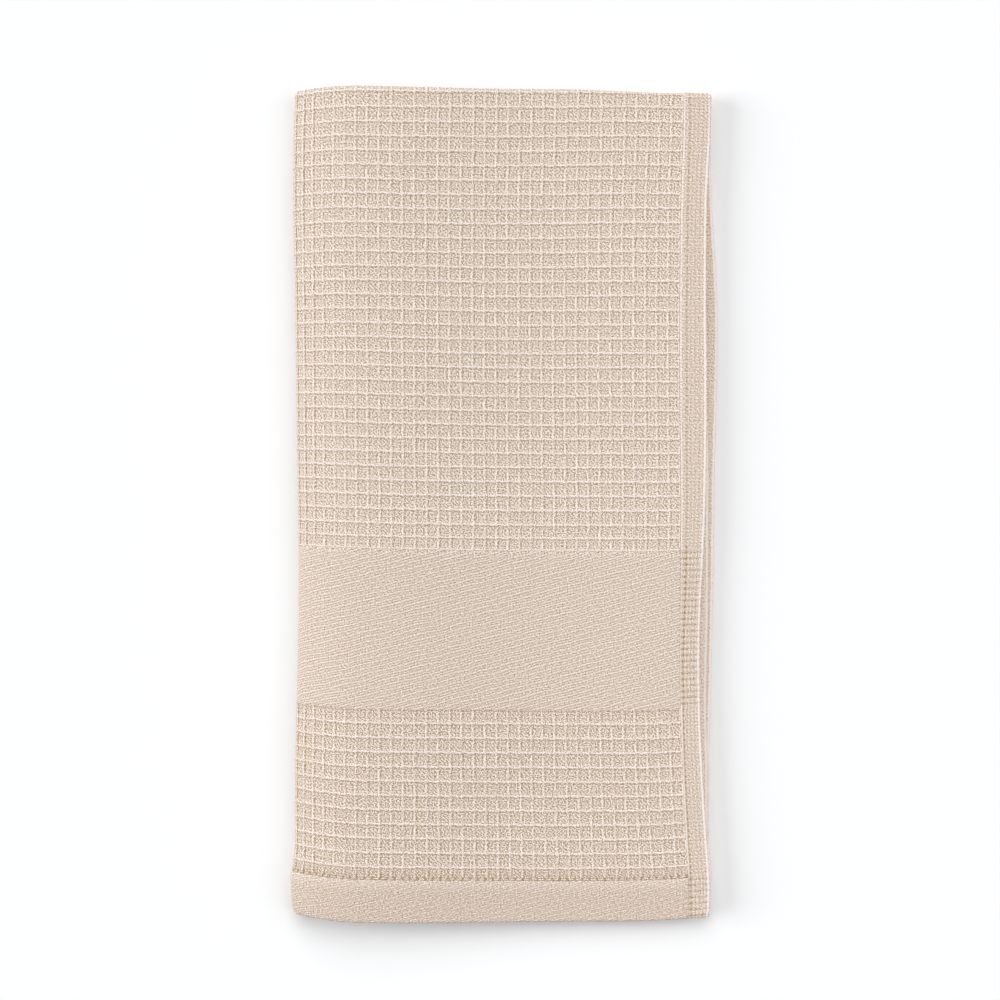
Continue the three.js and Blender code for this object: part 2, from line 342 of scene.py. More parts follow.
def pair_middle(station, y, inner):
    """The middle of a pair of layers, as X, Z and the direction out of the fold in the X-Z plane.

    Along a hem it is straight, from the hem's edge. Over a level stretch X is a mix of its two
    ends. The roll's under side and crown are quarters of two ellipses, with the station's share
    as a quarter turn. The upper pair's height falls from the roll's crest to its own height as a
    bell, exp(-(distance from the crest / reach)²). inner is 0 on the outer layers, which are the
    first and the fourth, and 1 on the inner ones.
    """
    stretch = np.clip(np.floor(station), LOWER_HEM, UPPER_HEM)
    share = station - stretch
    lower_edge = mix(side("fourth", y), side("third", y), inner)
    upper_edge = mix(side("first", y), side("second", y), inner)
    roll_x = side("roll", y) + FACE_FROM_MIDDLE
    crest = side("crown", y) - FACE_FROM_MIDDLE
    crest_x = roll_x + ROLL_CROWN_WIDTH
    turn_height = LOWER_PAIR_HEIGHT + ROLL_UNDER_RISE
    rise = crest - turn_height
    sin, cos = np.sin(share * math.pi / 2), np.cos(share * math.pi / 2)

    x = np.select(
        [stretch == k for k in range(UPPER_HEM + 1)],
        [
            lower_edge - share * LEVEL_FROM,
            mix(lower_edge - LEVEL_FROM, roll_x + ROLL_UNDER_WIDTH, share),
            roll_x + ROLL_UNDER_WIDTH * (1 - sin),
            roll_x + ROLL_CROWN_WIDTH * (1 - cos),
            mix(crest_x, upper_edge - LEVEL_FROM, share),
            upper_edge - (1 - share) * LEVEL_FROM,
        ],
    )
    bell = np.exp(-(((x - crest_x) / ROLL_AIR_REACH) ** 2))
    level = stretch <= LOWER
    under, crown = stretch == ROLL_UNDER, stretch == ROLL_CROWN
    z = np.select(
        [level, under, crown],
        [LOWER_PAIR_HEIGHT, turn_height - ROLL_UNDER_RISE * cos, turn_height + rise * sin],
        mix(UPPER_PAIR_HEIGHT, crest, bell),
    )
    fall = 2 * (crest - UPPER_PAIR_HEIGHT) * bell * (x - crest_x) / ROLL_AIR_REACH**2
    out_x = np.select([level, under, crown], [0, -ROLL_UNDER_RISE * sin, -rise * cos], fall)
    out_z = np.select([level, under, crown], [-1, -ROLL_UNDER_WIDTH * cos, ROLL_CROWN_WIDTH * sin], 1)
    length = np.hypot(out_x, out_z)
    return x, z, out_x / length, out_z / length


def fold(station, row, face, stand_off):
    """Places of cloth points on the folded towel, as an array that ends in X, Y, Z.

    First the end-to-end fold: a point is out from the pair's middle by half the pair's layer
    spacing, plus (face 1) or minus (face -1) half the cloth's thickness and its stand-off. Round
    the fold it turns with that radius, by angle a: y = start of the fold + out * sin(a), and out
    becomes out * cos(a). Then that section is carried round the side-to-side fold: the point is
    the pair's middle plus out times the direction out of the roll.
    """
    turn = np.clip((row - FOLD_START) / FOLD_ARC, 0, 1) * math.pi
    inner = smooth(turn / math.pi)
    upper = upper_share(station)
    near_x = pair_middle(station, 0, inner)[0]
    hem_y = np.where(
        row < FOLD_START + FOLD_ARC / 2,
        mix(end("fourth", near_x), end("first", near_x), upper),
        mix(end("third", near_x), end("second", near_x), upper),
    )
    fold_y = mix(end("lower", near_x), end("upper", near_x), upper) - FACE_FROM_MIDDLE
    from_hem = np.minimum(np.minimum(row, CLOTH_LENGTH - row), FOLD_START)
    out = LAYER_FROM_MIDDLE + face * (CLOTH_THICKNESS / 2 + stand_off)
    y = mix(hem_y, fold_y, from_hem / FOLD_START) + out * np.sin(turn)
    out = out * np.cos(turn)
    x, z, out_x, out_z = pair_middle(station, y, inner)
    return np.stack(np.broadcast_arrays(x + out * out_x, y, z + out * out_z), axis=-1)


def drifted(station, row):
    """A row of the top layer's weave moved by its drift, which is read along the towel at each of
    the five places across it and mixed evenly between them. It fades out round the roll."""
    x = pair_middle(station, y_near(row), 0)[0]
    drift = 0
    for column, peak in zip(DRIFT_COLUMNS[1:], np.eye(len(DRIFT_PLACES))):
        share = np.interp(x, DRIFT_PLACES, peak)
        drift = drift + share * read_table(DRIFTS, "row", row, column)
    return row - drift * smooth(np.clip(station - ROLL_UNDER, 0, 1))


def y_near(row):
    """About the Y of a row: its distance from the nearer end hem's edge, less half the towel"""
    from_hem = np.minimum(np.minimum(row, CLOTH_LENGTH - row), FOLD_START)
    return from_hem - FOLDED_LENGTH / 2


def station_at_depth(depth, y):
    """The station on the top layer that is this far from its side hem's edge.

    Within the hem's stretch a station is as long as LEVEL_FROM, and beyond it as long as the
    level stretch between the hem and the roll's crest.
    """
    width = side("first", y) - LEVEL_FROM - (side("roll", y) + FACE_FROM_MIDDLE + ROLL_CROWN_WIDTH)
    in_hem = STATIONS_END - depth / LEVEL_FROM
    return np.where(depth <= LEVEL_FROM, in_hem, UPPER_HEM - (depth - LEVEL_FROM) / width)


class ColumnLines:
    """The waffle's lines along the cloth, numbered from the top layer's side hem round the roll.

    Their spacing is the cell's width, summed in short steps along the outer face halfway along
    the towel, and a little less on the crown. Cells are whole up to where the top layer's pieces
    end under the roll, and whole again from there to the lower side hem.
    """

    def __init__(self, cell_width, crown_squeeze):
        steps = 4000
        stations = np.linspace(UPPER_HEM, LOWER, steps + 1)
        x, z, out_x, out_z = pair_middle(stations, 0.0, 0.0)
        face_x = x + FACE_FROM_MIDDLE * out_x
        face_z = z + FACE_FROM_MIDDLE * out_z
        step = np.hypot(np.diff(face_x), np.diff(face_z))
        crown = (stations[1:] >= ROLL_CROWN) & (stations[1:] < UPPER)
        width = np.where(crown, cell_width * crown_squeeze, cell_width)
        cells = np.concatenate([[0], np.cumsum(step / width)])
        self.cell_width = cell_width
        self.stations = stations
        self.cells = cells
        self.crest = np.interp(-UPPER, -stations, cells)
        self.roll_end = math.floor(np.interp(-ROLL_UNDER, -stations, cells))
        self.hem = self.roll_end + round(cells[-1] - self.roll_end)

    def station(self, cell, y):
        """The station of a line. From the side hem to the crest the lines keep even shares of
        the cloth there, and beyond it they keep their own spacing. They are straighter than the
        roll: towards its crest they are held back by most of its bends, and let go again over the
        last cells before the pieces end."""
        let_go = np.clip((self.roll_end - cell) / ROLL_HOLD_ENDS, 0, 1)
        held_back = ROLL_HOLD * (ROLL_STRAIGHT - side("roll", y)) / CELL_ACROSS
        cell = cell - held_back * np.clip(cell / self.crest, 0, 1) * let_go
        hem_depth = read_table(HEM_DEPTHS, "along", y, "depth")
        crest_depth = side("first", y) - (side("roll", y) + FACE_FROM_MIDDLE + ROLL_CROWN_WIDTH)
        depth = mix(hem_depth, crest_depth, np.minimum(cell / self.crest, 1))
        beyond = np.interp(cell, self.cells, self.stations)
        stretch = (self.hem - self.roll_end) / (self.cells[-1] - self.roll_end)
        last = self.roll_end + (cell - self.roll_end) / stretch
        lower = np.interp(last, self.cells, self.stations)
        found = np.where(cell < self.crest, station_at_depth(depth, y), beyond)
        return np.where(cell > self.roll_end, lower, found)


class RowLines:
    """The waffle's lines across the cloth, by their distance from their own end hem's edge.

    Below the band they are a cell's height apart down from the band, and the last cell is cut
    short by the hem. Above it the two cells next to the band are shorter, and the rest run on
    over the fold.
    """

    def __init__(self, cell_height, cells_below, first_height, second_height):
        self.below = cells_below
        whole = BAND_FROM - cell_height * np.arange(cells_below - 1, -1, -1)
        self.lines_below = np.concatenate([[END_HEM_DEPTH], whole])
        start = BAND_TO + first_height + second_height
        self.above = 2 + round((FOLD_START + FOLD_ARC - start) / cell_height)
        height = (FOLD_START + FOLD_ARC - start) / (self.above - 2)
        rest = start + height * np.arange(self.above - 1)
        self.lines_above = np.concatenate([[BAND_TO, BAND_TO + first_height], rest])


def cell_lines(first, last, places):
    """Lines over whole cells from first to last, at the same places within each cell"""
    cells = np.arange(first, last)[:, None] + np.array(places)[None, :]
    return np.append(cells.ravel(), last)


def edge_fall(distance):
    """How far a face falls towards the middle of the cloth at this distance from a hem's edge.

    It is half the thickness times 1 - √(1 - (1 - distance / rounding)²), a quarter circle.
    """
    short = np.clip(1 - distance / EDGE_ROUNDING, 0, EDGE_ROUNDED)
    return CLOTH_THICKNESS / 2 * (1 - np.sqrt(1 - short**2))


class Slab:
    """A closed piece of cloth between its outer and inner faces, on a grid of lines.

    stations and rows give each grid point's place on the cloth, rise and under how far the outer
    and inner face stand off there, and across and along its place in the weave's own units. The
    inner face uses every coarse line of the grid, so the grid has a whole number of such steps.
    The grid is put in the order of rising rows and stations, so that its faces point outwards.
    Where the outer face lies on the floor, it is drawn in by the highest relief.
    """

    def __init__(self, finish, stations, rows, rise, under, across, along, coarse):
        self.finish = finish
        count = stations.shape
        parts = (stations, rows, rise, np.broadcast_to(under, count), across, along)
        down, back = rows[0, 0] > rows[-1, 0], stations[0, 0] > stations[0, -1]
        order = np.s_[:: -1 if down else 1, :: -1 if back else 1]
        stations, rows, rise, under, across, along = (part[order] for part in parts)
        inner = np.s_[:: coarse[0], :: coarse[1]]
        on_floor = (1 - upper_share(stations)) * (rows < FOLD_START + FOLD_ARC)
        rise = rise - on_floor * RELIEF_TOP
        outer_points = fold(stations, rows, 1, rise)
        inner_points = fold(stations[inner], rows[inner], -1, under[inner])
        self.points = np.concatenate([outer_points.reshape(-1, 3), inner_points.reshape(-1, 3)])
        weave = np.stack([across, along], axis=-1)
        self.weave = np.concatenate([weave.reshape(-1, 2), weave[inner].reshape(-1, 2)])
        outer = np.arange(count[0] * count[1]).reshape(count)
        inner_count = outer[inner].shape
        self.outer = outer
        self.inner = outer.size + np.arange(inner_count[0] * inner_count[1]).reshape(inner_count)
        self.coarse = coarse

    def faces(self):
        """Lists of equal-sided faces as arrays of point numbers: the outer face, the inner face,
        and the four walls, each wall face holding one inner edge and the outer edges along it."""
        outer, inner = self.outer, self.inner
        found = [quads(outer), quads(inner)[:, ::-1]]
        rows, columns = self.coarse
        found.append(wall(outer[0], inner[0], columns)[:, ::-1])
        found.append(wall(outer[-1], inner[-1], columns))
        found.append(wall(outer[:, 0], inner[:, 0], rows))
        found.append(wall(outer[:, -1], inner[:, -1], rows)[:, ::-1])
        return found


def quads(grid):
    """The four-sided faces of a grid of point numbers"""
    corners = (grid[:-1, :-1], grid[:-1, 1:], grid[1:, 1:], grid[1:, :-1])
    return np.stack(corners, axis=-1).reshape(-1, 4)


def wall(outer, inner, step):
    """Faces between an outer border and its inner one, which has one edge for each step"""
    spans = len(inner) - 1
    along = np.arange(spans)[:, None] * step + np.arange(step + 1)[None, :]
    back = np.stack([inner[1:], inner[:-1]], axis=-1)
    return np.concatenate([outer[along], back], axis=1)


def bake_places(slab, tile, tiles):
    """A slab's own place in the bake's map, for each corner of its faces.

    The map is a square of tiles. In its tile the outer face fills most of the height, the inner
    face a strip below it, and each wall a narrow strip, all parted by gaps.
    """
    gap, wall_strip, wall_top = 0.006, 0.03, 0.022
    corner = np.array([tile % tiles, tile // tiles]) / tiles
    strips = ((0.0, 0.3, 1.0, 1.0), (0.0, 0.12, 1.0, 0.27))
    found = []
    for (left, low, right, high), grid in zip(strips, (slab.outer, slab.inner)):
        u = np.linspace(left + gap, right - gap, grid.shape[1])[None, :]
        v = np.linspace(low + gap, high - gap, grid.shape[0])[:, None]
        found.append(np.stack(np.broadcast_arrays(u, v), axis=-1).reshape(-1, 2))
    flat = np.concatenate(found)
    corners = [flat[face] for face in slab.faces()[:2]]
    for k, face in enumerate(slab.faces()[2:]):
        spans, sides = face.shape
        low, high = wall_strip * k + gap, wall_strip * k + wall_top
        start = np.linspace(gap, 1 - gap, spans + 1)
        along = mix(start[:-1, None], start[1:, None], np.linspace(0, 1, sides - 2)[None, :])
        back = np.stack([start[1:], start[:-1]], axis=-1)
        u = np.concatenate([along, back], axis=1)
        v = np.concatenate([np.full(along.shape, high), np.full(back.shape, low)], axis=1)
        place = np.stack([u, v], axis=-1)
        corners.append(place[:, ::-1] if k in (0, 3) else place)
    return [corner + place / tiles for place in corners]


def make_piece(name, slabs, materials):
    """Puts slabs into one mesh object, which rides on the frame's body.

    Each slab is smooth on its faces and sharp where they meet its walls.
    """
    points, weave, corners, sizes, smooths, finishes, bakes = [], [], [], [], [], [], []
    tiles = math.ceil(math.sqrt(len(slabs)))
    used = sorted({slab.finish for slab in slabs})
    start = 0
    for number, slab in enumerate(slabs):
        for kind, face in enumerate(slab.faces()):
            corners.append((face + start).ravel())
            weave.append(slab.weave[face.ravel()])
            sizes.append(np.full(len(face), face.shape[1]))
            smooths.append(np.full(len(face), kind < 2))
            finishes.append(np.full(len(face), used.index(slab.finish)))
        bakes.extend(place.reshape(-1, 2) for place in bake_places(slab, number, tiles))
        points.append(slab.points)
        start += len(slab.points)
    points, corners, sizes = (np.concatenate(part) for part in (points, corners, sizes))

    mesh = bpy.data.meshes.new(name)
    mesh.vertices.add(len(points))
    mesh.vertices.foreach_set("co", (points * MM).astype(np.float32).ravel())
    mesh.loops.add(len(corners))
    mesh.loops.foreach_set("vertex_index", corners.astype(np.int32))
    mesh.polygons.add(len(sizes))
    mesh.polygons.foreach_set("loop_start", (np.cumsum(sizes) - sizes).astype(np.int32))
    mesh.polygons.foreach_set("use_smooth", np.concatenate(smooths))
    mesh.polygons.foreach_set("material_index", np.concatenate(finishes).astype(np.int32))
    for map_name, places in ((WEAVE_MAP, weave), (BAKE_MAP, bakes)):
        layer = mesh.uv_layers.new(name=map_name)
        layer.uv.foreach_set("vector", np.concatenate(places).astype(np.float32).ravel())
    mesh.update(calc_edges=True)
    if mesh.validate(clean_customdata=False):
        raise RuntimeError(f"{name} has faces that Blender can't use")
    for finish in used:
        mesh.materials.append(materials[finish])

    piece = bpy.data.objects.new(name, mesh)
    bpy.context.scene.collection.objects.link(piece)
    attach(piece, "root")
    return piece


def border_fade(cell, first, last):
    """0 at the first and last line and 1 from half a cell inside them"""
    inside = np.minimum(cell - first, last - cell)
    return smooth(np.clip(inside / 0.5, 0, 1))


def float_curve(right):
    """How far up a crosswise rib lies off its line, in millimetres, at a share of a cell's width
    right of a lengthwise rib. The rib is a row of floats, one to a cell. Each starts high, as a
    bell, runs level and ends low, as another, where the next one starts."""
    start = 0.45 * bump(right - 0.14, 0.13)
    finish = 0.26 * (bump(right - 0.97, 0.1) + bump(right + 0.03, 0.1))
    return start - finish


def hook_curve(down):
    """How far right a lengthwise rib lies off its line, in millimetres, at a share of a cell's
    height below a crosswise rib. Each of its lengths hooks to the right as a bell at both ends."""
    return 0.5 * bump(down - 0.22, 0.1) + 0.45 * (bump(down - 0.97, 0.13) + bump(down + 0.03, 0.1))


def waffle_relief(column, row, seed):
    """The waffle's stand-off, in the weave's own cells.

    The floor of a cell is dished. A crosswise rib is a bell of the distance to the nearest whole
    row, and a lengthwise rib a bell of the distance to the nearest whole column, which fades
    where it dives under the crosswise one. The higher of the two stands on the floor. Each rib's
    height is uneven along it, and a groove lies below each crosswise rib and on each side of
    each lengthwise one.
    """
    down = (np.round(row) - row) * CELL_ALONG
    aside = np.abs(column - np.round(column)) * CELL_ACROSS
    in_cell = (2 * (column - np.floor(column)) - 1) ** 2 + (2 * (row - np.floor(row)) - 1) ** 2
    floor = CELL_FLOOR + 0.08 * (in_cell - 0.7)
    cross_height = CROSS_RIB_HEIGHT * (1 + 0.12 * uneven(column * 1.5, np.round(row), seed))
    long_height = LONG_RIB_HEIGHT * (1 + 0.3 * uneven(np.round(column), row * 1.3, seed + 1))
    cross = cross_height * bump(down, CROSS_RIB_WIDTH)
    dive = 1 - 0.4 * bump(down - 1.3, 0.45)
    long = long_height * bump(aside, LONG_RIB_WIDTH) * dive
    groove = 0.06 * bump(aside - 1.4, 0.5) * (1 - bump(down, 0.9)) + 0.05 * bump(down - 1.45, 0.5)
    return floor + np.maximum(cross, long) - groove


def waffle_slab(columns, rows, lines, turned, within, seed, first_row=0):
    """A slab of waffle weave over whole cells.

    within gives the mesh's lines across and along a cell, and first_row numbers the slab's rows
    of cells in the weave's map. A rib lies off its line by its own curve and by a smooth uneven
    amount, which both fade at the slab's borders and halfway to the next rib, as
    (1 + cos(2 pi cells)) / 2. turned is true for the layers beyond the end-to-end fold.
    """
    first, last, column_lines = columns
    across, along = within
    column = cell_lines(first, last, across)[None, :]
    row = cell_lines(0, rows, along)[:, None]
    column, row = np.broadcast_arrays(column, row)
    free = border_fade(row, 0, rows) * border_fade(column, first, last)
    near_row = (1 + np.cos(2 * math.pi * row)) / 2
    near_column = (1 + np.cos(2 * math.pi * column)) / 2
    up = float_curve(np.ceil(column) - column) + 0.16 * uneven(column * 1.7, row, seed + 2)
    right = hook_curve(np.ceil(row) - row) + 0.18 * uneven(column, row * 1.6, seed + 3)
    moved_row = row + up * near_row * free / CELL_ALONG
    moved_column = column - right * near_column * free / CELL_ACROSS
    from_hem = np.interp(moved_row, np.arange(rows + 1), lines)
    place = CLOTH_LENGTH - from_hem if turned else from_hem
    stations = column_lines.station(moved_column, y_near(place))
    if not turned:
        place = drifted(stations, place)
    rise = waffle_relief(column, row, seed)
    coarse = (len(along), len(across))
    return Slab("waffle", stations, place, rise, 0.0, column, row + first_row, coarse)


def satin_rows(across, along, row_pitch):
    """The satin's rows of strokes, which rise to the right: a cosine across the rows, with every
    second row a little higher. across runs to the left."""
    rows = (along + across * SATIN_SLANT) / row_pitch
    return 0.6 * np.cos(2 * math.pi * rows) + 0.4 * np.cos(math.pi * rows)


def band_relief(across, along):
    """The band's stand-off: rows of satin strokes, a rise to the rib at its upper line and a
    slight dip at its lower one"""
    ends = 0.2 * bump(BAND_TO - along, 0.9) - 0.1 * bump(along - BAND_FROM - 0.6, 0.8)
    return -0.25 + 0.07 * satin_rows(across, along, BAND_ROW_PITCH) + ends


def end_hem_relief(across, from_edge):
    """The end hem's stand-off: a level face of satin strokes, rounded at its edge. It rises to a
    low lip below its top, and drops at its top, with a row of stitch pits there."""
    from_top = END_HEM_DEPTH - from_edge
    stitches = 0.5 + 0.5 * np.cos(2 * math.pi * across / STITCH_SPACING)
    pits = 0.3 * bump(from_top - 0.2, 0.8) * stitches
    lip = 0.18 * bump(from_top - 2.6, 2.0)
    drop = 0.75 * smooth(np.clip(1 - from_top / 1.1, 0, 1))
    strokes = 0.05 * satin_rows(across, from_edge, HEM_ROW_PITCH)
    return 0.22 + strokes + lip - pits - drop - edge_fall(from_edge)


def hem_place(depth, hem_depth, stitched):
    """A place across a side hem in the weave's map, where the stitches and the inner side keep
    to one place each along the whole hem. Between them it is an even share of the way."""
    outside = depth * STITCH_PLACE / stitched
    inside = LIP_PLACE - (hem_depth - depth) * (LIP_PLACE - STITCH_PLACE) / (hem_depth - stitched)
    return np.where(depth < stitched, outside, inside)


def side_hem_relief(depth, place, from_hem):
    """A side hem's stand-off: a rounded edge with a slight rim, a level face, a stitched groove
    and a lip at its inner side. Beside the band it slopes down to it instead. There and over the
    end hem it has crosswise ribs, with narrow valleys where the cosine along it is low."""
    in_band, in_hem = beside_band(from_hem), over_end_hem(from_hem)
    ribbed = in_band + in_hem
    wave = np.cos(2 * math.pi * from_hem / HEM_RIB_PITCH)
    valleys = np.clip(-wave - 0.3, 0, 1) / 0.7
    ribs = (0.05 * wave - 0.1 * valleys) * ribbed
    grain = 0.04 * uneven(depth / 1.1, from_hem / 1.1, 31)
    groove = 0.22 * bump(place - STITCH_PLACE, 0.8) * (0.3 + 0.7 * valleys)
    from_lip = LIP_PLACE - place
    lip = 0.12 * bump(from_lip - 1.0, 0.7) * (1 - ribbed)
    drop = 0.6 * smooth(np.clip(1 - from_lip / 0.7, 0, 1)) * (1 - ribbed)
    drop = drop + 0.42 * smooth(np.clip(1 - from_lip / 3.5, 0, 1)) * in_band
    rim = 0.06 * bump(depth - 1.1, 0.5)
    return 0.22 + ribs + grain + lip + rim - groove - drop - edge_fall(depth)


def beside_band(from_hem):
    """1 beside the band and 0 beyond it, eased over a few millimetres"""
    inside = np.minimum(from_hem - BAND_FROM, BAND_TO - from_hem)
    return smooth(np.clip(inside / RIBS_EASED + 0.5, 0, 1))


def over_end_hem(from_hem):
    """1 over the end hem and 0 beyond it, eased over a few millimetres"""
    return smooth(np.clip((END_HEM_DEPTH - from_hem) / RIBS_EASED + 0.5, 0, 1))


def plain_slab(finish, columns, limits, steps, turned, within, relief):
    """A slab without cells, such as the band or an end hem, between two lines across the cloth.

    Its columns are the waffle's, so that it meets the waffle line for line, and its lines across
    the cloth are evenly spaced.
    """
    first, last, column_lines = columns
    column = cell_lines(first, last, within[0])[None, :]
    from_hem = np.linspace(*limits, steps + 1)[:, None]
    column, from_hem = np.broadcast_arrays(column, from_hem)
    place = CLOTH_LENGTH - from_hem if turned else from_hem
    stations = column_lines.station(column, y_near(place))
    if not turned:
        place = drifted(stations, place)
    x = column * column_lines.cell_width
    under = -edge_fall(from_hem) if finish == "end_hem" else 0.0
    coarse = (INNER_STEP, len(within[0]))
    return Slab(finish, stations, place, relief(x, from_hem), under, x, from_hem, coarse)


def side_hem_slab(places, top_pair, shown, line_step, depth_steps):
    """A side hem along a stretch of the cloth, from its inner side to its edge.

    shown is true for the top layer's, whose depth varies along the towel. The mesh's lines along
    the hem are a little closer at its two sides. The faces fall at its edge and at its ends, by
    the larger of the two falls.
    """
    first, last = places
    count = INNER_STEP * round((last - first) / line_step / INNER_STEP)
    row = np.linspace(first, last, count + 1)[:, None]
    share = np.linspace(0, 1, depth_steps + 1)[None, :]
    share = mix(share, smooth(share), 0.5)
    y = y_near(row)
    hem_depth = np.full(y.shape, LEVEL_FROM)
    stitched = np.full(y.shape, STITCH_PLACE)
    if shown:
        hem_depth = read_table(HEM_DEPTHS, "along", y, "depth")
        stitched = read_table(HEM_DEPTHS, "along", y, "stitched")
    depth = hem_depth * (1 - share) if top_pair else hem_depth * share
    row, depth = np.broadcast_arrays(row, depth)
    stations = station_at_depth(depth, y) if top_pair else depth / LEVEL_FROM
    from_hem = np.minimum(row, CLOTH_LENGTH - row)
    place = hem_place(depth, hem_depth, stitched)
    side_fall = edge_fall(depth)
    fall = np.maximum(side_fall, edge_fall(from_hem))
    rise = side_hem_relief(depth, place, from_hem) + side_fall - fall
    # The under layers' hems take a finish lightened by painted light, as they lie in the upper
    # layers' shade
    finish = "side_hem" if shown else "under_hem"
    return Slab(finish, stations, row, rise, -fall, place, from_hem, (INNER_STEP, INNER_STEP))


class Number:
    """A number that a shader works out. Its operators add Math nodes."""

    def __init__(self, shader, socket):
        self.shader = shader
        self.socket = socket

    def __add__(self, other):
        return self.shader.math("ADD", self, other)

    def __sub__(self, other):
        return self.shader.math("SUBTRACT", self, other)

    def __mul__(self, other):
        return self.shader.math("MULTIPLY", self, other)

    def __truediv__(self, other):
        return self.shader.math("DIVIDE", self, other)

    def __rsub__(self, other):
        return self.shader.math("SUBTRACT", other, self)

    def __neg__(self):
        return self.shader.math("MULTIPLY", self, -1.0)

    def __abs__(self):
        return self.shader.math("ABSOLUTE", self)

    __radd__ = __add__
    __rmul__ = __mul__

    def clamped(self):
        """The number kept from 0 to 1"""
        return self.shader.math("MINIMUM", self.shader.math("MAXIMUM", self, 0.0), 1.0)

    def whole(self):
        """The nearest whole number"""
        return self.shader.math("ROUND", self)

    def floor(self):
        """The whole number below"""
        return self.shader.math("FLOOR", self)

    def wave(self, length):
        """sin(2 pi number / length)"""
        return self.shader.math("SINE", self * (2 * math.pi / length))

    def bell(self, width):
        """(1 - (number / width)²)², and 0 past the width"""
        rest = 1 - self * self * (1 / width**2)
        rest = self.shader.math("MAXIMUM", rest, 0.0)
        return rest * rest


class Shader:
    """A material whose nodes are added by one method, with its numbers as expressions."""

    def __init__(self, name):
        self.material = bpy.data.materials.new(name)
        self.material.use_nodes = True
        self.tree = self.material.node_tree
        self.tree.nodes.clear()

    def node(self, kind, settings=None, inputs=None):
        """Adds a node, sets it, then gives each named socket its value or link"""
        node = self.tree.nodes.new(kind)
        for name, value in (settings or {}).items():
            if name == "stops":
                self.set_stops(node.color_ramp, value)
            else:
                setattr(node, name, value)
        for name, value in (inputs or {}).items():
            if isinstance(value, Number):
                value = value.socket
            if isinstance(value, bpy.types.NodeSocket):
                self.tree.links.new(value, node.inputs[name])
            else:
                node.inputs[name].default_value = value
        return node

    @staticmethod
    def set_stops(ramp, stops):
        """Gives a ramp its stops, each a place and a colour"""
        while len(ramp.elements) < len(stops):
            ramp.elements.new(0.5)
        for element, (place, colour) in zip(ramp.elements, stops):
            element.position = place
            element.color = (*colour, 1.0)

    def math(self, operation, *values):
        """One Math node on numbers"""
        node = self.node("ShaderNodeMath", {"operation": operation}, dict(enumerate(values)))
        return Number(self, node.outputs[0])

    def cloth_place(self):
        """The place in the weave's own units, from the piece's map"""
        place = self.node("ShaderNodeUVMap", {"uv_map": WEAVE_MAP})
        parts = self.node("ShaderNodeSeparateXYZ", inputs={0: place.outputs[0]})
        return Number(self, parts.outputs[0]), Number(self, parts.outputs[1])

    def joined(self, across, along):
        """Two numbers as a vector's X and Y"""
        return self.node("ShaderNodeCombineXYZ", inputs={0: across, 1: along}).outputs[0]

    def noise(self, across, along):
        """Soft noise of about -1 to 1, with features about as large as one unit"""
        node = self.node(
            "ShaderNodeTexNoise",
            {"noise_dimensions": "2D"},
            {"Vector": self.joined(across, along), "Scale": 1.0, "Detail": 0.0},
        )
        return (Number(self, node.outputs[0]) - 0.5) * 4.0

    def finish(self, tone, height, colours, painted_lift=1.0):
        """Ends the tree in matt cotton: tone from 0 to 1 picks its colour, from painted shade at its
        dark end to a painted highlight at its light end. A lift makes it lighter without a change of
        hue, as painted light for cloth that lies in shade, and height from 0 to 1 bends its light."""
        tones = (
            (0.0, colours.pit_colour),
            (0.33, colours.shade_colour),
            (0.6, colours.yarn_colour),
            (1.0, colours.light_colour),
        )
        stops = []
        for place, colour in tones:
            # A lift above 1 is painted light: it lightens cloth that lies in shade
            most = min(painted_lift, 1 / max(colour))
            stops.append((place, [most * part for part in colour]))
        ramp = self.node("ShaderNodeValToRGB", {"stops": stops}, {0: tone.clamped()})
        bend = {"Strength": 1.0, "Distance": BUMP_DEPTH * MM, "Height": height}
        bent = self.node("ShaderNodeBump", inputs=bend)
        cotton = self.node(
            "ShaderNodeBsdfPrincipled",
            inputs={
                "Base Color": ramp.outputs[0],
                "Roughness": 0.95,
                "Specular IOR Level": 0.2,
                "Sheen Weight": 0.08,
                "Sheen Roughness": 0.6,
                "Normal": bent.outputs[0],
            },
        )
        self.node("ShaderNodeOutputMaterial", inputs={"Surface": cotton.outputs[0]})
        return self.material


def yarn_noise(shader, across, along):
    """Uneven yarns, at a place in millimetres: fine noise, finer than a yarn's spots, plus a
    little of one that is half as fine"""
    fine = shader.noise(across / 0.72, along / 0.66)
    coarse = shader.noise(across / 1.5 + 31, along / 1.3)
    return fine + 0.15 * coarse


